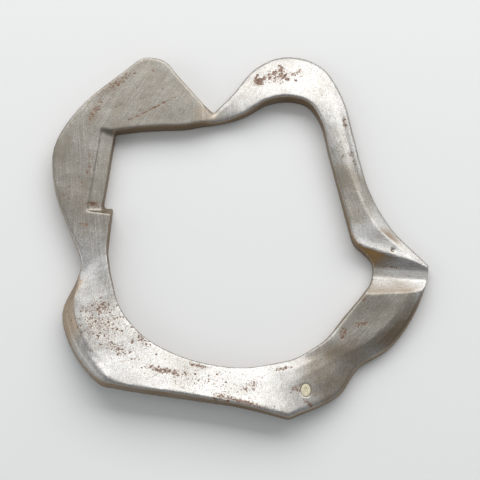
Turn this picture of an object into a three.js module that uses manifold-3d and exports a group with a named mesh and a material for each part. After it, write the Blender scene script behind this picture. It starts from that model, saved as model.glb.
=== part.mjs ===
// One ring of a metal disentanglement puzzle: a closed, irregular loop, cast in one piece and filed.
// Going clockwise, seen from above: neck, arch, right arm, saddle with a filed groove, right lobe,
// waist, keel, bottom bar, heel, ankle, left arm with a stepped ledge, plate, and back to the neck.
// Units are millimetres. The ring lies on z = 0 and +Z points up. The origin is under its middle.

import * as THREE from "three";
import { mergeVertices } from "three/addons/utils/BufferGeometryUtils.js";
import Module from "manifold-3d";

const wasm = await Module();
wasm.setup();

// ---- Driving dimensions ------------------------------------------------------------------------

// The loop's middle line is drawn 61 long and 62 wide, then stretched to these two spans.
const drawnLength = 61;
const drawnWidth = 62;
const loopLength = 61;
const loopWidth = 62;

const stock = 3.5; // thickness of the flat parts: plate, left arm and right lobe
const neckThickness = 2.0; // top to underside at the neck
const heelLift = 2.9; // how far the heel's outer corner stands above the stock
const keelLift = 1.6; // the same at the keel's point
const barThickness = 3.0; // outer wall of the raised bottom bar
const barLean = 0.6; // how far the twisted bar's outer wall leans outwards at its foot
const archDrop = 1.5; // how far the arch's top falls away towards its outer edge
const armDrop = 1.2; // fall of the right arm's outer facet, from its ridge to its edge
const saddleDrop = 1.1; // how far the ring thins outwards, from the inner edge to the ridge, at the saddle

// Widths across the ring, from its inner edge to its outer edge.
const neckWidth = 2.4;
const archWidth = 9.5;
const armWidth = 6.1;
const saddleWidth = 10.8;
const lobeWidth = 13.2;
const waistWidth = 9.4;
const keelWidth = 10.7;
const barWidth = 7.2;
const heelWidth = 12.1;
const ankleWidth = 7.2;
const leftArmWidth = 11.5;
const plateWidth = 15.0;

const ledgeWidth = 2.7; // from the ledge's inner edge to the low wall at its back
const ledgeDrop = 1.1; // depth of the ledge's floor at its inner edge
const ledgeStep = 0.28; // height of the low wall at the back of its floor
const ledgeBackLean = 0.5; // how far that wall leans back over its cut height
const ledgeSetback = 1.7; // step in the inner outline at the ledge's lower end
const ledgeStart = 1.9; // from the left arm's lowest station up to the ledge's lower end wall
const ledgeEndSlope = 30; // degrees that both end walls lean back from upright
const ledgeEndInset = 0.1; // from the inner corner back to the ledge's upper end

const grooveFloorWidth = 2.0; // the saddle groove's flat bottom
const grooveFloorHeight = 1.75; // height of that bottom above z = 0
const grooveUpperSlope = 25; // degrees above level, on the arm's side
const grooveLowerSlope = 25; // degrees above level, on the lobe's side
const grooveTurn = -4; // degrees from the X axis to the groove's run
const grooveOffset = 0.8; // from the saddle's middle to the upper edge of the groove's bottom

const pitRadius = 0.45; // open casting pit beside the right arm's ridge
const pitShare = 0.62; // its place across the saddle's crest, from the inner to the outer edge
const pitOffset = 0.3; // from the crest down to the pit's middle
const pitHeight = stock - 0.7; // height of the pit's middle
const plugHalfWidth = 0.75; // oval filler plug in a casting blowhole, its long side along Y
const plugHalfLength = 1.05;
const plugDepth = 1.1;
const plugGap = 0.05;
const plugShare = 0.45; // the plug's place across the keel's flank, from the inner to the outer edge
const plugShift = new THREE.Vector3(-1.7, -3.0, 0); // and from there on towards the keel's point
const plugTop = stock + 0.6; // level with the keel's face around it

const undersideChamfer = 0.25;
const stepsPerGap = 5; // sections between two stations
const arcSteps = 3; // facets in each rounded top edge

// ---- Stations ----------------------------------------------------------------------------------

const flat = [stock, stock, stock];
const archRound = [0.5, 0.9];
const archTop = [stock + 0.2, stock - 0.5, stock - archDrop];
const armTop = [stock - 0.1, stock - 0.1, stock - 0.1 - armDrop];
const saddleTop = [stock, stock - saddleDrop, stock - saddleDrop - 0.5 * armDrop];

// Each station is one upright section across the ring.
//   x, y      its middle, on the drawn middle line
//   across    direction in degrees from the inner edge to the outer edge
//   width     distance between the two edges
//   top       heights of the inner edge, the ridge and the outer edge
//   ridge     place of the ridge, as a share of the width
//   crease    sharpness of the ridge, from 0, a rounded crown, to 1, two straight facets
//   round     radius of the inner and of the outer top edge
//   under     heights of the underside at the inner and at the outer edge
//   lean      outward shift of the underside
//   corner    the side on which the outline turns a corner here: inner, outer, both or none
const plain = {
  top: flat, ridge: 0.5, crease: 0, round: [0.25, 0.5], under: [0, 0], lean: 0, corner: "none",
};

const stations = [
  {
    name: "neck", x: -5.4, y: 23.9, across: 94, width: neckWidth, corner: "outer",
    top: [0.5 + neckThickness, 0.6 + neckThickness, 0.3 + neckThickness],
    round: [0.5, 0.4], under: [0.5, 0.5],
  },
  {
    name: "arch foot", x: -0.5, y: 26.9, across: 110, width: 0.56 * archWidth,
    top: [stock - 0.3, stock - 0.5, stock - 0.5 * archDrop], round: [0.5, 0.8], under: [0.2, 0.2],
  },
  {
    name: "arch left", x: 3.8, y: 30.9, across: 107, width: 0.84 * archWidth,
    top: archTop, round: archRound,
  },
  { name: "arch crown", x: 8.7, y: 32.6, across: 93, width: archWidth, top: archTop, round: archRound },
  {
    name: "arch right", x: 14.3, y: 31.1, across: 74, width: 0.96 * archWidth,
    top: archTop, round: archRound,
  },
  {
    name: "arm top", x: 17.7, y: 25.8, across: 53, width: 1.2 * armWidth,
    top: [stock + 0.1, stock - 0.1, stock - 0.6 * archDrop], round: [0.5, 0.9],
  },
  {
    name: "arm", x: 19.6, y: 17.8, across: 27, width: 0.97 * armWidth,
    top: [stock - 0.1, stock, stock - 0.6 * archDrop], round: [0.4, 0.8],
  },
  {
    name: "ridge start", x: 21.7, y: 9.2, across: -3, width: armWidth,
    top: armTop, ridge: 0.56, crease: 0.7, round: [0.5, 0.4],
  },
  {
    name: "ridge", x: 24.6, y: 1.8, across: -4, width: 1.4 * armWidth,
    top: [stock, stock - 0.4 * saddleDrop, stock - 0.4 * saddleDrop - armDrop],
    ridge: 0.62, crease: 1, round: [0.4, 0.4],
  },
  {
    name: "saddle crest", x: 27.3, y: -2.3, across: -9, width: 1.12 * saddleWidth,
    top: saddleTop, ridge: 0.76, crease: 1, round: [0.4, 0.3],
  },
  {
    name: "saddle floor", x: 30.2, y: -5.5, across: -2, width: saddleWidth, corner: "outer",
    top: saddleTop, ridge: 0.8, crease: 1, round: [0.3, 0.3],
  },
  {
    name: "saddle rise", x: 29.8, y: -8.7, across: 1, width: saddleWidth,
    top: [stock, stock - 0.7 * saddleDrop, stock - 0.9 * saddleDrop],
    ridge: 0.75, crease: 1, round: [0.5, 0.4],
  },
  {
    name: "lobe top", x: 28.9, y: -10.4, across: 5, width: 0.89 * lobeWidth,
    top: [stock, stock - 0.5 * saddleDrop, stock - 0.8 * saddleDrop],
    ridge: 0.78, crease: 0.9, round: [0.8, 0.5],
  },
  {
    name: "lobe", x: 25.8, y: -15.4, across: 1, width: lobeWidth,
    top: [stock, stock - 0.3 * saddleDrop, stock - 0.8 * saddleDrop],
    ridge: 0.72, crease: 0.9, round: [0.9, 1.0],
  },
  {
    name: "lobe foot", x: 21.7, y: -20.7, across: -8, width: 0.92 * lobeWidth,
    top: [stock + 0.1, stock, stock - 1.1], ridge: 0.6, crease: 0.6, round: [0.8, 1.4],
  },
  {
    name: "waist", x: 17.3, y: -23.6, across: -22, width: waistWidth,
    top: [stock - 0.1, stock, stock - 0.8], round: [0.5, 1.3], under: [0, 0.2],
  },
  {
    name: "keel flank", x: 13.8, y: -27.0, across: -41, width: keelWidth,
    top: [stock - 0.6, stock + 0.4, stock - 0.3], ridge: 0.4, round: [0.4, 1.3], under: [0, 0.5],
  },
  {
    name: "keel point", x: 7.3, y: -29.6, across: -76, width: keelWidth, corner: "outer",
    top: [stock - 0.6, stock + 0.5, stock + keelLift], ridge: 0.4, round: [0.3, 0.8],
    under: [0.1, stock + keelLift - barThickness], lean: 0.2,
  },
  {
    name: "bar right", x: -0.8, y: -28.8, across: -93, width: barWidth,
    top: [stock - 0.2, stock + 0.9, stock + 0.75 * keelLift + 0.25 * heelLift + 0.2], round: [0.3, 0.5],
    under: [0.2, stock + 0.75 * keelLift + 0.25 * heelLift + 0.2 - barThickness], lean: 0.6 * barLean,
  },
  {
    name: "bar middle", x: -10.5, y: -27.2, across: -108, width: barWidth,
    top: [stock + 0.2, stock + 1.2, stock + 0.8 * heelLift], round: [0.3, 0.5],
    under: [0.4, stock + 0.8 * heelLift - barThickness], lean: barLean,
  },
  {
    name: "bar left", x: -19.5, y: -24.8, across: -126, width: 0.86 * heelWidth,
    top: [stock + 0.1, stock + 1.5, stock + 0.95 * heelLift], round: [0.3, 0.6],
    under: [0.5, stock + 0.95 * heelLift - barThickness], lean: barLean,
  },
  {
    name: "heel corner", x: -22.4, y: -23.5, across: -125, width: 0.98 * heelWidth,
    top: [stock + 0.1, stock + 1.6, stock + heelLift], round: [0.3, 1.6],
    under: [0.5, stock + heelLift - barThickness], lean: 0.7 * barLean,
  },
  {
    name: "heel", x: -26.8, y: -18.4, across: -134, width: heelWidth,
    top: [stock - 0.2, stock + 0.6 * heelLift, stock + 0.6 * heelLift], ridge: 0.6, round: [0.3, 2.4],
    under: [0.2, stock + 0.6 * heelLift - barThickness], lean: 0.3 * barLean,
  },
  {
    name: "heel side", x: -29.1, y: -11.6, across: -143, width: 0.95 * heelWidth,
    top: [stock - 0.1, stock + 0.3 * heelLift, stock + 0.2 * heelLift], ridge: 0.6, round: [0.3, 2.4],
    under: [0.1, stock + 0.2 * heelLift - barThickness],
  },
  { name: "ankle low", x: -28.3, y: -6.0, across: -133, width: 1.19 * ankleWidth, round: [0.3, 1.0] },
  { name: "ankle", x: -27.8, y: -3.1, across: -135, width: ankleWidth, round: [0.3, 0.7] },
  { name: "left arm low", x: -28.8, y: 2.6, across: -156, width: 0.76 * leftArmWidth },
  { name: "left arm", x: -30.2, y: 8.6, across: -176, width: 0.96 * leftArmWidth },
  { name: "left arm top", x: -30.5, y: 16.7, across: 173, width: 1.04 * leftArmWidth },
  { name: "inner corner", x: -28.3, y: 23.3, across: 146, width: 0.57 * plateWidth, corner: "inner" },
  { name: "plate left", x: -21.7, y: 27.4, across: 107, width: 0.82 * plateWidth },
  { name: "plate shoulder", x: -17.2, y: 29.1, across: 106, width: 1.01 * plateWidth },
  {
    name: "plate tip", x: -14.55, y: 28.8, across: 96, width: 0.93 * plateWidth,
    round: [0.25, 0.6],
  },
  { name: "plate right", x: -11.8, y: 27.2, across: 96, width: 0.7 * plateWidth, round: [0.25, 0.7] },
  { name: "plate end", x: -7.5, y: 24.6, across: 89, width: 0.27 * plateWidth, corner: "both" },
].map((station) => ({ ...plain, ...station }));

// ---- Geometry helpers --------------------------------------------------------------------------

const radians = THREE.MathUtils.degToRad;
const up = new THREE.Vector3(0, 0, 1);

function stationNamed(name) {
  return stations.find((station) => station.name === name);
}

// A point of a station: share 0 is the inner edge and share 1 the outer edge, at the given height.
function pointAcross(station, share, height) {
  const angle = radians(station.across);
  const offset = (share - 0.5) * station.width;
  return new THREE.Vector3(
    (station.x * loopLength) / drawnLength + offset * Math.cos(angle),
    (station.y * loopWidth) / drawnWidth + offset * Math.sin(angle),
    height,
  );
}

// Three points of a section's top, between its two shoulders and through its ridge. A crease of 0
// gives a rounded crown, and 1 gives two straight facets.
function crownPoints([inner, outer], ridge, crease) {
  const pull = ridge.clone().multiplyScalar(2).sub(inner.clone().add(outer).multiplyScalar(0.5));
  const crown = new THREE.QuadraticBezierCurve(inner, pull, outer);
  const innerHalf = crown.getPoint(0.25).lerp(inner.clone().lerp(ridge, 0.5), crease);
  const outerHalf = crown.getPoint(0.75).lerp(ridge.clone().lerp(outer, 0.5), crease);
  return [innerHalf, ridge, outerHalf].map(({ x, y }) => [x, y]);
}

// The closed outline of one section, from the underside's inner edge over the top and back.
function sectionOutline(station) {
  const { width, top, ridge, crease, round, under, lean } = station;
  const outline = [
    [lean + undersideChamfer, under[0]],
    [lean, under[0] + undersideChamfer],
  ];
  for (let i = 0; i <= arcSteps; i++) {
    const turn = (i / arcSteps) * (Math.PI / 2);
    outline.push([round[0] * (1 - Math.cos(turn)), top[0] - round[0] * (1 - Math.sin(turn))]);
  }
  const shoulders = [new THREE.Vector2(round[0], top[0]), new THREE.Vector2(width - round[1], top[2])];
  outline.push(...crownPoints(shoulders, new THREE.Vector2(ridge * width, top[1]), crease));
  for (let i = arcSteps; i >= 0; i--) {
    const turn = (i / arcSteps) * (Math.PI / 2);
    outline.push([width - round[1] * (1 - Math.cos(turn)), top[2] - round[1] * (1 - Math.sin(turn))]);
  }
  outline.push([width + lean, under[1] + undersideChamfer]);
  outline.push([width + lean - undersideChamfer, under[1]]);
  return outline.map(([along, height]) => pointAcross(station, along / width, height));
}

// A smooth closed line through one point of every station, broken where the outline has a corner.
function railSampler(points, breaks) {
  const count = points.length;
  if (!breaks.length) {
    const curve = new THREE.CatmullRomCurve3(points, true);
    return (place) => curve.getPoint(place / count);
  }
  const spans = breaks.map((start, i) => {
    const end = i + 1 < breaks.length ? breaks[i + 1] : breaks[0] + count;
    const run = [];
    for (let j = start; j <= end; j++) run.push(points[j % count]);
    return { start, end, curve: new THREE.CatmullRomCurve3(run) };
  });
  return (place) => {
    const lifted = place < breaks[0] ? place + count : place;
    const span = spans.find(({ start, end }) => lifted >= start && lifted <= end);
    return span.curve.getPoint((lifted - span.start) / (span.end - span.start));
  };
}

// The loop's skin: the rails run round the ring, and each pair of sections is joined by a strip.
function loftRing() {
  const outlines = stations.map(sectionOutline);
  const railCount = outlines[0].length;
  const rails = outlines[0].map((_, rail) => {
    const side = rail < railCount / 2 ? "inner" : "outer";
    const breaks = stations.flatMap(({ corner }, i) => (corner === side || corner === "both" ? [i] : []));
    return railSampler(outlines.map((outline) => outline[rail]), breaks);
  });
  const sections = stations.length * stepsPerGap;
  const positions = [];
  for (let s = 0; s < sections; s++) {
    for (const rail of rails) {
      const point = rail(s / stepsPerGap);
      positions.push(point.x, point.y, Math.max(point.z, 0));
    }
  }
  const indices = [];
  for (let s = 0; s < sections; s++) {
    for (let r = 0; r < railCount; r++) {
      const a = s * railCount + r;
      const b = s * railCount + ((r + 1) % railCount);
      const c = ((s + 1) % sections) * railCount + r;
      const d = ((s + 1) % sections) * railCount + ((r + 1) % railCount);
      indices.push(a, d, b, a, c, d);
    }
  }
  const geometry = new THREE.BufferGeometry();
  geometry.setAttribute("position", new THREE.Float32BufferAttribute(positions, 3));
  geometry.setIndex(indices);
  return geometry;
}

function toSolid(geometry) {
  const bare = geometry.clone();
  bare.deleteAttribute("normal");
  bare.deleteAttribute("uv");
  const merged = mergeVertices(bare, 1e-4);
  return new wasm.Manifold(
    new wasm.Mesh({
      numProp: 3,
      vertProperties: new Float32Array(merged.attributes.position.array),
      triVerts: new Uint32Array(merged.index.array),
    }),
  );
}

function toGeometry(solid) {
  const mesh = solid.getMesh();
  const geometry = new THREE.BufferGeometry();
  geometry.setAttribute("position", new THREE.BufferAttribute(mesh.vertProperties, 3));
  geometry.setIndex(new THREE.BufferAttribute(mesh.triVerts, 1));
  geometry.computeVertexNormals();
  return geometry;
}

// An upright section [sideways, height] drawn out from one point towards another, level with z = 0.
// Its ends lean: startSlope and endSlope say how far each end moves outwards for each unit of height.
function prismBetween(from, to, section, startSlope, endSlope) {
  const length = Math.hypot(to.x - from.x, to.y - from.y);
  const shape = new THREE.Shape(section.map(([side, height]) => new THREE.Vector2(side, height)));
  const geometry = new THREE.ExtrudeGeometry(shape, { depth: length, bevelEnabled: false });
  const position = geometry.attributes.position;
  for (let i = 0; i < position.count; i++) {
    const height = position.getY(i);
    const atStart = position.getZ(i) < length / 2;
    const shift = atStart ? -startSlope * height : endSlope * height;
    position.setZ(i, position.getZ(i) + shift);
  }
  const along = new THREE.Vector3(to.x - from.x, to.y - from.y, 0).normalize();
  const sideways = up.clone().cross(along);
  geometry.applyMatrix4(new THREE.Matrix4().makeBasis(sideways, up, along));
  geometry.translate(from.x, from.y, 0);
  return geometry;
}

// ---- Cuts --------------------------------------------------------------------------------------

// The ledge in the left arm's inner side: a floor that slopes down to the inner edge, with an end
// wall at the step and another under the plate's corner.
function ledgeCut() {
  const lowEdge = pointAcross(stationNamed("left arm low"), 0, 0);
  const corner = pointAcross(stationNamed("inner corner"), 0, 0);
  const lowEnd = lowEdge.clone().add(new THREE.Vector3(-ledgeSetback, ledgeStart, 0));
  const highEnd = corner.clone().add(new THREE.Vector3(-ledgeEndInset, 0, 0));
  const over = 1; // how far the cut reaches above the arm's top face
  const clear = 3; // how far the cut reaches into the open middle
  const section = [
    [-clear, -1],
    [0, -1],
    [0, stock - ledgeDrop],
    [ledgeWidth, stock - ledgeStep],
    [ledgeWidth + ledgeBackLean, stock + over],
    [-clear, stock + over],
  ];
  const slope = Math.tan(radians(ledgeEndSlope));
  highEnd.y -= slope * stock; // the upper wall meets the arm's face at the plate's lower edge
  return prismBetween(lowEnd, highEnd, section, slope, slope);
}

// The groove filed across the saddle: a flat bottom between a long slope and a steep one.
function grooveCut() {
  const middle = pointAcross(stationNamed("saddle floor"), 0.5, 0);
  middle.y -= grooveOffset;
  const run = new THREE.Vector3(saddleWidth, 0, 0).applyAxisAngle(up, radians(grooveTurn));
  const inside = middle.clone().sub(run);
  const outside = middle.clone().add(run);
  const rise = stock + 1 - grooveFloorHeight;
  const section = [
    [rise / Math.tan(radians(grooveUpperSlope)), grooveFloorHeight + rise],
    [-grooveFloorWidth - rise / Math.tan(radians(grooveLowerSlope)), grooveFloorHeight + rise],
    [-grooveFloorWidth, grooveFloorHeight],
    [0, grooveFloorHeight],
  ];
  return prismBetween(inside, outside, section, 0, 0);
}

function pitCut() {
  const centre = pointAcross(stationNamed("saddle crest"), pitShare, pitHeight);
  const pit = new THREE.SphereGeometry(pitRadius, 16, 10);
  pit.translate(centre.x, centre.y - pitOffset, centre.z);
  return pit;
}

// The middle of the filler plug, on the keel's flank.
function plugPlace() {
  return pointAcross(stationNamed("keel flank"), plugShare, 0).add(plugShift);
}

// The plug's own oval, grown all round by the given gap.
function plugBody(gap, bottom, top) {
  const body = new THREE.CylinderGeometry(1, 1, top - bottom, 24);
  body.rotateX(Math.PI / 2);
  body.scale(plugHalfWidth + gap, plugHalfLength + gap, 1);
  const place = plugPlace();
  body.translate(place.x, place.y, (top + bottom) / 2);
  return body;
}

// ---- Assembly ----------------------------------------------------------------------------------

const steel = new THREE.MeshStandardMaterial({ color: 0xb2aea8, roughness: 0.45, metalness: 0.9 });
const filler = new THREE.MeshStandardMaterial({ color: 0xe4ddc3, roughness: 0.6, metalness: 0.1 });

const ringSolid = toSolid(loftRing())
  .subtract(toSolid(ledgeCut()))
  .subtract(toSolid(grooveCut()))
  .subtract(toSolid(pitCut()))
  .subtract(toSolid(plugBody(plugGap, plugTop - plugDepth - plugGap, stock + 2)));

const ring = new THREE.Mesh(toGeometry(ringSolid), steel);
ring.name = "ring_casting";

const plug = new THREE.Mesh(plugBody(0, plugTop - plugDepth, plugTop), filler);
plug.name = "blowhole_plug";

// The origin goes under the middle of the ring's box.
const box = new THREE.Box3().setFromBufferAttribute(ring.geometry.attributes.position);
const middle = box.getCenter(new THREE.Vector3());
const puzzleRing = new THREE.Group();
puzzleRing.add(ring, plug);
for (const mesh of puzzleRing.children) mesh.position.set(-middle.x, -middle.y, -box.min.z);

export default puzzleRing;
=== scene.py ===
# %% [markdown]
# A ring from a disentanglement puzzle
#
# The object is one closed, irregular ring of grey metal. It is taken to be a casting that was filed
# by hand and handled until its high edges were bright and its hollows brown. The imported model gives
# the solids. This script loads them, gives the casting its pits and soft edges, and makes the two
# finishes: filed steel, and a pale filler for the light spot near the keel.

# %% Load the solids
import math

import bpy
import numpy as np
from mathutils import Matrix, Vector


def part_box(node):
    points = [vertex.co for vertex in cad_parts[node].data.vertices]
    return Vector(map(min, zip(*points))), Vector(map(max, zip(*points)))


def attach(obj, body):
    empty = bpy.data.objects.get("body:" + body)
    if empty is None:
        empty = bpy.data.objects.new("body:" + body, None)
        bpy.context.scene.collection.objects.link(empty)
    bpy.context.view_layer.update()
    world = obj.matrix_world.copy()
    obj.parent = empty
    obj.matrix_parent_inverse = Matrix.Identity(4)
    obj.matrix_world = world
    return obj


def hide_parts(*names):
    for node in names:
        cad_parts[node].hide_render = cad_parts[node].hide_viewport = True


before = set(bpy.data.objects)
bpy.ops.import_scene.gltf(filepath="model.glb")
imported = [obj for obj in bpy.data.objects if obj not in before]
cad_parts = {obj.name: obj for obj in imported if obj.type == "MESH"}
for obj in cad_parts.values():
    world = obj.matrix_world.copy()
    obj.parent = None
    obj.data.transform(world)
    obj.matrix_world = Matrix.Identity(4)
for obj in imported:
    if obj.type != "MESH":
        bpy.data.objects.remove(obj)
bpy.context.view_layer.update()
mm = 0.001

casting_low, casting_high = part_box("ring_casting")
plug_low, plug_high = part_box("blowhole_plug")
print("casting", [round(side / mm, 2) for side in casting_high - casting_low], "mm")

# %% [markdown]
# Camera, table and light
#
# The ring lies flat and is seen almost from above, from a short distance, so near parts look a
# little larger. The table is a plain pale sheet. A wide soft lamp stands behind the ring, about 40
# degrees up: a facet that leans back mirrors it. A dimmer panel hangs overhead, and the level faces
# mirror that instead. The difference is what lets the eye read the facets of a plain grey metal. A weak
# panel on the left lightens the heel's side. All three were set by trial, to suit the look.

# %% Camera and table
scene = bpy.context.scene
scene.view_settings.view_transform = "Standard"

camera_tilt = math.radians(15)
camera_distance = 218 * mm
aim = (0.25 * mm, -1.4 * mm, 0)

bpy.ops.object.camera_add(
    location=(
        aim[0],
        aim[1] - camera_distance * math.sin(camera_tilt),
        aim[2] + camera_distance * math.cos(camera_tilt),
    ),
    rotation=(camera_tilt, 0, 0),
)
camera = bpy.context.object
camera.data.lens = 85
camera.data.sensor_width = 36
camera.data.clip_start = 1 * mm
scene.camera = camera

bpy.ops.mesh.primitive_plane_add(size=3, location=(0, 0, casting_low.z))
table = bpy.context.object
table.name = "table"
print("camera tilt", round(math.degrees(camera_tilt)), "degrees, table", table.name)


# %% Lamps and room
def soft_panel(name, height, turn, distance, width, depth, power):
    """Hangs a rectangular lamp, aimed at the ring. Height and turn from +Y are in degrees."""
    up, round_z = math.radians(height), math.radians(turn)
    bpy.ops.object.light_add(
        type="AREA",
        location=(
            distance * math.cos(up) * math.sin(round_z),
            distance * math.cos(up) * math.cos(round_z),
            distance * math.sin(up),
        ),
        rotation=(math.pi / 2 - up, 0, math.pi - round_z),
    )
    panel = bpy.context.object
    panel.name = name
    panel.data.shape = "RECTANGLE"
    panel.data.size = width
    panel.data.size_y = depth
    panel.data.energy = power
    print(name, power, "W")


soft_panel("back_lamp", height=41, turn=10, distance=0.6, width=1.15, depth=0.4, power=4.5)
soft_panel("left_fill", height=22, turn=-95, distance=0.7, width=0.6, depth=0.4, power=0.9)
soft_panel("overhead_panel", height=80, turn=0, distance=0.9, width=0.8, depth=0.7, power=0.35)

room = bpy.data.worlds.new("room")
scene.world = room
room.use_nodes = True
room_light = room.node_tree.nodes["Background"].inputs
room_light["Color"].default_value = (0.94, 0.97, 1.0, 1)
room_light["Strength"].default_value = 0.34

# %% [markdown]
# The casting
#
# Handling takes the sharpness off every edge of a filed casting. The solid has the outline and the
# facets, but its edges are those of a drawing. A voxel
# remesh turns a merged copy into small even faces, and a few rounds of smoothing then wear all the
# edges by the same small amount, as handling does. A faint cloud displacement, always inwards,
# gives the skin the slight waviness of cast metal.


# %% Helpers for shaping
def only(piece):
    """Selects one piece and nothing else."""
    bpy.ops.object.select_all(action="DESELECT")
    piece.select_set(True)
    bpy.context.view_layer.objects.active = piece


def finish_with(piece, kind, **settings):
    """Adds a modifier to the piece, sets it and applies it."""
    only(piece)
    modifier = piece.modifiers.new(kind.lower(), kind)
    for name, value in settings.items():
        setattr(modifier, name, value)
    bpy.ops.object.modifier_apply(modifier=modifier.name)


def points_of(piece):
    """The places of a piece's vertices, as an array in millimetres."""
    flat = np.empty(len(piece.data.vertices) * 3)
    piece.data.vertices.foreach_get("co", flat)
    return flat.reshape(-1, 3) / mm


# %% Copy, merge and soften the casting
casting = bpy.data.objects.new("cast_ring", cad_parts["ring_casting"].data.copy())
scene.collection.objects.link(casting)
only(casting)
bpy.ops.object.mode_set(mode="EDIT")
bpy.ops.mesh.select_all(action="SELECT")
bpy.ops.mesh.remove_doubles(threshold=0.001 * mm)
bpy.ops.mesh.normals_make_consistent(inside=False)
bpy.ops.object.mode_set(mode="OBJECT")

skin_cell = 0.245 * mm  # fine enough for the pits, and under 200,000 triangles
wear_rounds = 4
finish_with(casting, "REMESH", mode="VOXEL", voxel_size=skin_cell, use_smooth_shade=True)
finish_with(casting, "SMOOTH", factor=0.5, iterations=wear_rounds)
print("casting has", len(casting.data.polygons), "faces")

# %% Cast waviness
wave_depth = 0.14 * mm
waves = bpy.data.textures.new("cast_waves", "CLOUDS")
waves.noise_scale = 5 * mm
waves.noise_depth = 2
finish_with(casting, "DISPLACE", texture=waves, strength=wave_depth, mid_level=1.0)

# %% [markdown]
# Pits and rust
#
# Rust starts in the small pits that casting leaves, so both come from one list. Each field is a
# patch of the ring where they crowd: its middle, its reach along and across, the turn of its long
# side, how rusty it is, and how many pits it has. The pits are pushed in with a weighted Displace,
# which is real geometry. The rustiness is kept on the mesh as an attribute, and the finish breaks it
# up into specks.

# %% Fields of pits and rust
chance = np.random.default_rng(11)

# place, middle x and y, reach along and across, turn in degrees, rust, pits, largest radius
rust_fields = [
    ("arch, left blobs", 3.9, 30.2, 1.2, 0.9, -50, 0.9, 8, 0.62),
    ("arch, scattered blobs", 7.4, 31.6, 3.1, 1.6, 6, 0.5, 40, 0.5),
    ("arch, tail", 11.4, 32.0, 2.0, 0.4, 20, 0.45, 10, 0.28),
    ("plate, row of dots", -17.5, 23.9, 5.4, 0.16, 29, 0.9, 16, 0.26),
    ("plate, upper spot", -16.9, 32.2, 0.3, 0.3, 60, 1.0, 1, 0.32),
    ("plate, middle", -19.0, 27.0, 4.0, 3.0, 30, 0.12, 9, 0.24),
    ("plate, left edge", -24.0, 29.6, 4.4, 0.8, 38, 0.52, 8, 0.24),
    ("plate, low left", -28.2, 23.4, 3.4, 0.9, 64, 0.5, 9, 0.24),
    ("ledge, side", -28.8, 13.5, 3.4, 0.4, 85, 0.35, 6, 0.28),
    ("ledge, foot", -28.0, 5.0, 1.3, 0.5, 0, 0.95, 4, 0.3),
    ("left arm", -30.5, 7.0, 6.0, 2.6, 90, 0.2, 10, 0.25),
    ("left arm, low", -29.2, 0.6, 0.7, 0.5, 0, 0.7, 2, 0.3),
    ("heel, top", -26.0, -15.4, 3.2, 1.8, 10, 0.42, 18, 0.27),
    ("heel, middle", -25.2, -18.6, 4.6, 3.0, -8, 0.36, 46, 0.27),
    ("heel, low", -22.2, -23.2, 3.2, 1.2, -22, 0.42, 18, 0.3),
    ("heel, inner edge", -18.2, -21.0, 3.0, 1.0, -50, 0.4, 16, 0.28),
    ("bar, streak", -13.4, -27.3, 3.8, 0.6, -8, 0.62, 26, 0.32),
    ("bar, inner edge", -7.3, -26.3, 1.9, 0.35, -12, 0.75, 5, 0.25),
    ("bar, outer edge", -3.2, -32.2, 1.6, 1.0, -10, 0.55, 12, 0.32),
    ("bar, low edge", 1.0, -33.1, 4.2, 0.4, -13, 0.85, 6, 0.25),
    ("bar, middle specks", 2.0, -30.2, 2.2, 1.1, 30, 0.35, 8, 0.28),
    ("bar, scattered specks", -7.0, -29.5, 8.0, 2.4, -10, 0.22, 16, 0.24),
    ("keel, inner edge", 8.2, -26.7, 1.7, 0.3, 6, 0.75, 4, 0.25),
    ("keel, dark nick", 12.4, -33.0, 0.8, 0.25, -32, 0.9, 3, 0.36),
    ("keel, by the filler", 10.4, -30.5, 0.9, 0.6, 20, 0.6, 8, 0.26),
    ("arm, upper ridge", 20.6, 21.6, 1.3, 0.5, 110, 0.6, 4, 0.3),
    ("arm, ridge", 22.2, 13.2, 3.4, 0.5, 104, 0.28, 6, 0.24),
    ("arm, face", 20.6, 12.0, 8.0, 1.2, 100, 0.16, 12, 0.22),
    ("groove, floor", 29.0, -7.2, 2.4, 0.35, -6, 0.55, 4, 0.22),
    ("lobe, upper specks", 23.4, -13.8, 1.5, 0.4, 85, 0.5, 4, 0.25),
    ("lobe, middle specks", 23.0, -18.4, 1.4, 0.4, 10, 0.75, 5, 0.28),
    ("lobe, low smudge", 19.2, -20.4, 0.9, 0.7, 45, 0.7, 4, 0.3),
]


def across_field(x, y, field_x, field_y, turn):
    """Distances along and across a field from its middle."""
    angle = math.radians(turn)
    right, ahead = x - field_x, y - field_y
    along = right * math.cos(angle) + ahead * math.sin(angle)
    return along, ahead * math.cos(angle) - right * math.sin(angle)


# %% Measure every vertex against the fields
skin = points_of(casting)
face_up = np.empty(len(skin) * 3)
casting.data.vertex_normals.foreach_get("vector", face_up)
face_up = np.clip(face_up.reshape(-1, 3)[:, 2] * 2.5, 0, 1)

hollow = np.zeros(len(skin))
rust = np.zeros(len(skin))
smallest_pit = 0.16
full_depth_radius = 0.42
for place, x, y, reach, breadth, turn, redness, count, largest_pit in rust_fields:
    along, across = across_field(skin[:, 0], skin[:, 1], x, y, turn)
    rust = np.maximum(rust, redness * np.exp(-((along / reach) ** 2 + (across / breadth) ** 2)))
    for _ in range(count):
        a, b = chance.normal(0, 0.6, 2) * (reach, breadth)
        pit_x, pit_y = across_field(a, b, 0, 0, -turn)
        radius = smallest_pit + (largest_pit - smallest_pit) * chance.random() ** 1.5
        away = np.hypot(skin[:, 0] - x - pit_x, skin[:, 1] - y - pit_y)
        share = min(1, radius / full_depth_radius)
        hollow = np.maximum(hollow, share * np.clip(1 - (away / radius) ** 2, 0, 1))
        rust = np.maximum(rust, (0.6 + 0.4 * redness) * np.clip(2 * (1.2 - away / radius), 0, 1))
hollow *= face_up
rust *= face_up
print(len(rust_fields), "fields,", int((hollow > 0.02).sum()), "pitted vertices")

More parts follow.
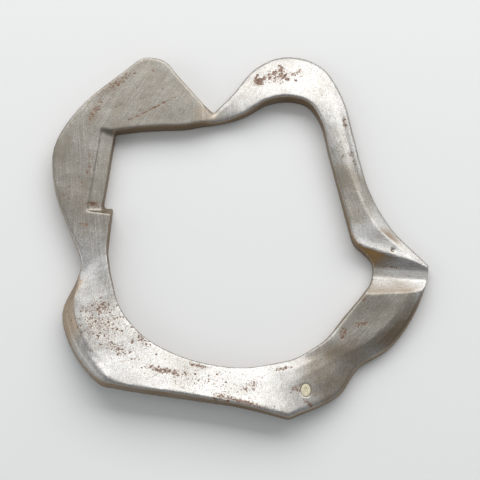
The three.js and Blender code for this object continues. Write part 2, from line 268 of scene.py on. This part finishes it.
# %% Push the pits in and keep the rust
pit_depth = 0.07 * mm
pit_group = casting.vertex_groups.new(name="pits")
for index in np.flatnonzero(hollow > 0.02):
    pit_group.add([int(index)], float(hollow[index]), "REPLACE")
finish_with(casting, "DISPLACE", vertex_group="pits", strength=-pit_depth, mid_level=0.0)
casting.vertex_groups.clear()

rust_mark = casting.data.attributes.new("rust", "FLOAT", "POINT")
rust_mark.data.foreach_set("value", rust.astype(np.float32))

# %% [markdown]
# The filled blowhole
#
# The light spot near the keel is taken for a gas bubble that was filled with a pale paste. That is a
# guess. The filler is made from a cylinder stretched into an oval, level with the metal. Its top is
# inset and lifted into a dome, and a small inset in the middle is pushed down for a pinprick.

# %% Model the filler
plug_middle = (plug_low + plug_high) / 2
plug_size = plug_high - plug_low
smear = 0.13 * mm  # the filler spreads this far over the rim of its hole
proud = 0.1 * mm  # and stands this far above the solid's flat top
bpy.ops.mesh.primitive_cylinder_add(vertices=48, radius=0.5, depth=1, location=plug_middle)
filler = bpy.context.object
filler.name = "filler_plug"
filler.scale = (plug_size.x + 2 * smear, plug_size.y + 2 * smear, plug_size.z)
bpy.ops.object.transform_apply(location=True, rotation=True, scale=True)


def choose_top(piece, reach):
    """Selects the piece's upward faces whose middle is within reach of its axis."""
    bpy.ops.object.mode_set(mode="OBJECT")
    for face in piece.data.polygons:
        centre = face.center - plug_middle
        top = face.normal.z > 0.5 and face.center.z > plug_middle.z
        face.select = top and math.hypot(centre.x, centre.y) < reach
    bpy.ops.object.mode_set(mode="EDIT")
    bpy.ops.mesh.select_mode(type="FACE")


only(filler)
bpy.ops.object.mode_set(mode="EDIT")
bpy.ops.mesh.select_all(action="DESELECT")
choose_top(filler, 0.1 * mm)
bpy.ops.mesh.bevel(offset=0.12 * mm, segments=3)
choose_top(filler, 0.1 * mm)
for _ in range(3):
    bpy.ops.mesh.inset(thickness=0.14 * mm)
    bpy.ops.transform.translate(value=(0, 0, 0.012 * mm))
bpy.ops.mesh.inset(thickness=0.08 * mm)
bpy.ops.transform.translate(value=(0, 0, -0.12 * mm))
bpy.ops.object.mode_set(mode="OBJECT")
filler_top = max(vertex.co.z for vertex in filler.data.vertices)
only(filler)
bpy.ops.transform.translate(value=(0, 0, plug_high.z + proud - filler_top))
bpy.ops.object.transform_apply(location=True, rotation=False, scale=False)
bpy.ops.object.shade_smooth_by_angle(angle=math.radians(50))
print("filler", [round(side / mm, 2) for side in filler.dimensions], "mm")

# %% [markdown]
# Writing finishes as expressions
#
# A finish is a graph of nodes, but its ideas are sums: tone is the base times the grain, rust is
# a mask minus some noise. Wire wraps one socket so that +, - and * add the Math nodes, and Finish
# holds one material and makes every other node through one method.


# %% Wires and finishes
class Wire:
    """A socket of a finish that can be added, subtracted and multiplied."""

    def __init__(self, finish, socket):
        self.finish = finish
        self.socket = socket

    def __add__(self, other):
        return self.finish.sum("ADD", self, other)

    def __sub__(self, other):
        return self.finish.sum("SUBTRACT", self, other)

    def __rsub__(self, other):
        return self.finish.sum("SUBTRACT", other, self)

    def __mul__(self, other):
        return self.finish.sum("MULTIPLY", self, other)

    __radd__ = __add__
    __rmul__ = __mul__


class Finish:
    """One material, with its nodes made by short calls."""

    def __init__(self, name):
        self.material = bpy.data.materials.new(name)
        self.material.use_nodes = True
        self.tree = self.material.node_tree
        self.shader = self.tree.nodes["Principled BSDF"]
        self.place = self.node("ShaderNodeTexCoord", "Object")
        self.place = self.node(
            "ShaderNodeVectorMath", "Vector", {"operation": "SCALE"}, Vector=self.place, Scale=1 / mm
        )

    def feed(self, socket, value):
        if isinstance(value, Wire):
            self.tree.links.new(value.socket, socket)
        else:
            socket.default_value = value

    def node(self, kind, result, settings=None, **values):
        """Adds a node, sets it, feeds its sockets and returns one result as a Wire."""
        made = self.tree.nodes.new(kind)
        for name, value in (settings or {}).items():
            setattr(made, name, value)
        for name, value in values.items():
            wanted = name.replace("_", " ")
            sockets = [
                s for s in made.inputs
                if s.enabled and wanted in (s.name, s.identifier.replace("_", " "))
            ]
            self.feed(sockets[0], value)
        results = [s for s in made.outputs if s.enabled and result in (s.name, s.identifier)]
        return Wire(self, results[0])

    def sum(self, operation, first, second):
        made = self.tree.nodes.new("ShaderNodeMath")
        made.operation = operation
        self.feed(made.inputs[0], first)
        self.feed(made.inputs[1], second)
        return Wire(self, made.outputs[0])

    def step(self, value, low, high):
        """0 below low, 1 above high, and an even curve between."""
        kind = {"interpolation_type": "SMOOTHSTEP"}
        return self.node(
            "ShaderNodeMapRange", "Result", kind, Value=value, From_Min=low, From_Max=high
        )

    def noise(self, scale, detail=3, roughness=0.55, place=None, distortion=0.0):
        return self.node(
            "ShaderNodeTexNoise", "Fac", Vector=place or self.place, Scale=scale,
            Detail=detail, Roughness=roughness, Distortion=distortion,
        )

    def strokes(self, turn, spacing, length):
        """Noise drawn out into lines that run at a turn from the X axis."""
        turned = self.node(
            "ShaderNodeMapping", "Vector", {"vector_type": "TEXTURE"}, Vector=self.place,
            Rotation=(0, 0, math.radians(turn)), Scale=(length, spacing, spacing),
        )
        return self.noise(1, detail=4, roughness=0.6, place=turned)

    def near(self, x, y, inner, outer):
        """1 within inner millimetres of a place, 0 beyond outer."""
        away = self.node(
            "ShaderNodeVectorMath", "Value", {"operation": "DISTANCE"},
            Vector=self.place, Vector_001=(x, y, 3),
        )
        return 1 - self.step(away, inner, outer)

    def blend(self, first, second, share):
        """Mixes two colours."""
        return self.node(
            "ShaderNodeMix", "Result_Color", {"data_type": "RGBA"},
            Factor_Float=share, A_Color=first, B_Color=second,
        )

    def set(self, **values):
        for name, value in values.items():
            self.feed(self.shader.inputs[name.replace("_", " ")], value)

    def paint(self, piece):
        piece.data.materials.clear()
        piece.data.materials.append(self.material)
        print(self.material.name, "on", piece.name, "with", len(self.tree.nodes), "nodes")


# %% [markdown]
# Filed steel
#
# Filed and handled steel is bright on its worn edges and top faces and brown in its hollows. The
# finish starts as one satin metal. File strokes run along each facet in that facet's own direction,
# and they change tone, roughness and a very small bump. Brown oxide lies over the upright walls and
# the groove, in a colour dark enough to paint their shade too, rust over the pits, and a bright line
# where the surface turns sharply outwards. Some tints are laid by place as painted shade, and help the
# facets to read: darker level faces on the plate, lobe and arm, and brown on the waist, the lobe's
# right rim and the groove's upper wall.

# %% Colours of the metal
bright_steel = (0.575, 0.575, 0.57, 1)
# the dark end of the random tone, warm like shaded flats, so it is also the colour of painted shade
dull_steel_and_shade = (0.26, 0.235, 0.195, 1)
# brown oxide, darker than the oxide itself, so that on the walls it also paints their shade
brown_oxide_and_shade = (0.2, 0.135, 0.072, 1)
tan_oxide = (0.35, 0.25, 0.155, 1)
# brown of the waist: oxide patches and painted shade where the surface slopes away from the light
waist_oxide_and_shade_colour = (0.21, 0.155, 0.09, 1)
golden_oxide = (0.38, 0.225, 0.08, 1)
red_rust = (0.19, 0.098, 0.064, 1)
dark_rust = (0.06, 0.035, 0.028, 1)

# %% Filed steel: where each effect lies
steel = Finish("filed_steel")
lean = steel.node("ShaderNodeSeparateXYZ", "Z", Vector=steel.node("ShaderNodeNewGeometry", "Normal"))
upward = steel.sum("ABSOLUTE", lean, 0)  # 1 on level faces, above and below, and 0 on walls
bend = steel.node("ShaderNodeNewGeometry", "Pointiness")
patches = steel.noise(0.14, detail=2, roughness=0.5)
speckle = steel.noise(3.0, detail=5, roughness=0.8)
grain = steel.noise(7, detail=3, roughness=0.7)
edge_wear = steel.step(bend, 0.53, 0.6)
recess = steel.step(0.5 - bend, 0.015, 0.07)

# %% Filed steel: strokes of the file
file_runs = (
    # middle x and y, where the run fades, turn of the strokes in degrees
    (-20, 27, 8, 13, 58),
    (-24, -20, 9, 15, 86),
    (0, -30, 9, 16, 76),
    (9, 29, 6, 11, 66),
    (22, 12, 8, 14, 112),
    (30, -6, 5, 8, -5),
    (25, -16, 6, 10, 48),
)
filed = 0.0
touched = 0.0
for x, y, inner, outer, turn in file_runs:
    run = steel.near(x, y, inner, outer)
    filed = run * steel.strokes(turn, 0.22, 5) + filed
    touched = run + touched
strokes = filed + (1 - steel.step(touched, 0, 1)) * steel.strokes(95, 0.22, 6)
print("file strokes in", len(file_runs) + 1, "runs")

# %% Filed steel: oxide and painted shade
# upright walls: brown oxide and painted shade
side_wall = 1 - steel.step(upward, 0.1, 0.6)
rolled_edge = 1 - steel.step(upward, 0.5, 0.8)
oxide = steel.step(patches + 0.5 * speckle, 0.55, 0.95)
heel_side = steel.near(-33, -15, 4.5, 9.5) * (1 - steel.step(upward, 0.93, 0.998))
tanned = steel.step(rolled_edge * (0.35 + 0.65 * oxide) + 0.8 * heel_side, 0, 1)
# painted shade and oxide patches on the waist
waist_oxide_and_shade = steel.near(18.5, -28, 4.5, 9) * steel.step(0.5 * patches + 0.5 * speckle, 0.36, 0.56)
neck_tan = steel.near(-6.2, 23.4, 1.2, 3.4) * 0.3
# painted shade and oxide on the lobe's right rim, which faces away from the lamps
lobe_rim_oxide_and_shade = steel.near(29.5, -17, 4, 9) * (1 - steel.step(upward, 0.93, 0.985))
# painted shade: darkens the level faces of the plate, the lobe and the arm
painted_shade_faces = steel.near(-24, 18, 14, 26) + steel.near(25, -15, 6, 10) + steel.near(19.5, 6, 4, 9)
# painted shade and oxide on the groove's upper wall, which faces away from the lamps
groove_wall_oxide_and_shade = steel.near(27.5, -3.4, 2.4, 4.4) * (1 - steel.step(upward, 0.9, 0.96))
groove_gold = steel.near(23.8, -4.2, 2.4, 5.0) * steel.step(speckle + 0.4 * patches, 0.45, 0.75) * (
    steel.step(upward, 0.2, 0.7) - steel.step(upward, 0.94, 0.98)
)

# %% Filed steel: rust
rust_field = steel.node("ShaderNodeAttribute", "Fac", {"attribute_name": "rust"})
rust_share = steel.step(speckle + 0.24 * rust_field, 0.605, 0.655)
rust_core = steel.step(speckle + 0.24 * rust_field, 0.7, 0.78)
rust_stain = steel.step(rust_field + 0.8 * (speckle - 0.5), 0.1, 0.9)
veins = 1 - steel.step(
    steel.node(
        "ShaderNodeTexVoronoi", "Distance", {"feature": "DISTANCE_TO_EDGE"},
        Vector=steel.place, Scale=0.75,
    ),
    0.0, 0.035,
)
veins = veins * steel.step(patches + 0.7 * speckle, 0.86, 1.0)

# %% Filed steel: put together
# the tone is lowered on the plate, lobe and arm faces as painted shade
tone = (
    0.5 - 0.36 * steel.step(painted_shade_faces, 0, 1)
    + 0.8 * (strokes - 0.5) + 0.7 * (patches - 0.5) + 1.0 * (speckle - 0.5) + 1.8 * (grain - 0.5)
)
metal = steel.blend(dull_steel_and_shade, bright_steel, steel.step(tone, 0.0, 0.9))
metal = steel.blend(metal, tan_oxide, 0.75 * tanned)
# painted shade and oxide on the upright walls
metal = steel.blend(metal, brown_oxide_and_shade, side_wall * (0.7 + 0.3 * oxide))
# painted shade and oxide on the waist
metal = steel.blend(metal, waist_oxide_and_shade_colour, 0.75 * waist_oxide_and_shade)
metal = steel.blend(metal, tan_oxide, neck_tan)
# painted shade and oxide on the lobe's right rim
metal = steel.blend(metal, brown_oxide_and_shade, 0.6 * lobe_rim_oxide_and_shade)
# painted shade and oxide on the groove's upper wall
metal = steel.blend(metal, brown_oxide_and_shade, 0.75 * groove_wall_oxide_and_shade)
metal = steel.blend(metal, golden_oxide, 0.95 * groove_gold)
metal = steel.blend(metal, brown_oxide_and_shade, 0.3 * recess)
metal = steel.blend(metal, brown_oxide_and_shade, 0.5 * veins)
metal = steel.blend(metal, tan_oxide, 0.45 * rust_stain)
metal = steel.blend(metal, bright_steel, 0.25 * edge_wear)
metal = steel.blend(metal, red_rust, 0.85 * rust_share)
metal = steel.blend(metal, dark_rust, 0.6 * rust_core)

# the rust, and the walls, groove wall and waist that carry painted shade, are made less metallic
earthy_and_shaded = steel.step(
    0.85 * rust_share + 0.45 * side_wall + 0.4 * groove_wall_oxide_and_shade + 0.35 * waist_oxide_and_shade, 0, 1.2
)
relief = steel.node(
    "ShaderNodeBump", "Normal", Strength=0.7, Distance=0.03 * mm,
    Height=0.5 * strokes + 0.5 * speckle + 0.7 * grain - 0.5 * rust_share,
)
steel.set(
    Base_Color=metal,
    Metallic=1 - 0.7 * earthy_and_shaded,
    Roughness=0.42 + 0.16 * (strokes - 0.5) + 0.2 * (speckle - 0.5) + 0.2 * earthy_and_shaded,
    Normal=relief,
)
steel.paint(casting)

# %% [markdown]
# Pale filler
#
# Dried filler paste is matt and slightly grainy. It is a plain dielectric with a warm cream colour, a
# fine mottle and a darker pinprick.

# %% Pale filler
paste = Finish("pale_filler")
mottle = paste.noise(4, detail=4, roughness=0.7)
paste.set(
    Base_Color=paste.blend((0.62, 0.55, 0.38, 1), (0.80, 0.74, 0.56, 1), paste.step(mottle, 0.35, 0.65)),
    Roughness=0.7,
    Normal=paste.node("ShaderNodeBump", "Normal", Strength=0.3, Distance=0.03 * mm, Height=mottle),
)
paste.paint(filler)

# %% [markdown]
# Table
#
# A plain pale sheet, matt, so that the ring is the only thing with a shine.

# %% Table sheet
sheet = Finish("pale_table")
sheet.set(Base_Color=(0.84, 0.84, 0.83, 1), Roughness=0.85)
table.data.materials.append(sheet.material)

# %% Tie the pieces to the solids
for piece, node in ((casting, "ring_casting"), (filler, "blowhole_plug")):
    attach(piece, "root")
    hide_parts(node)
    print(piece.name, "stands for", node)
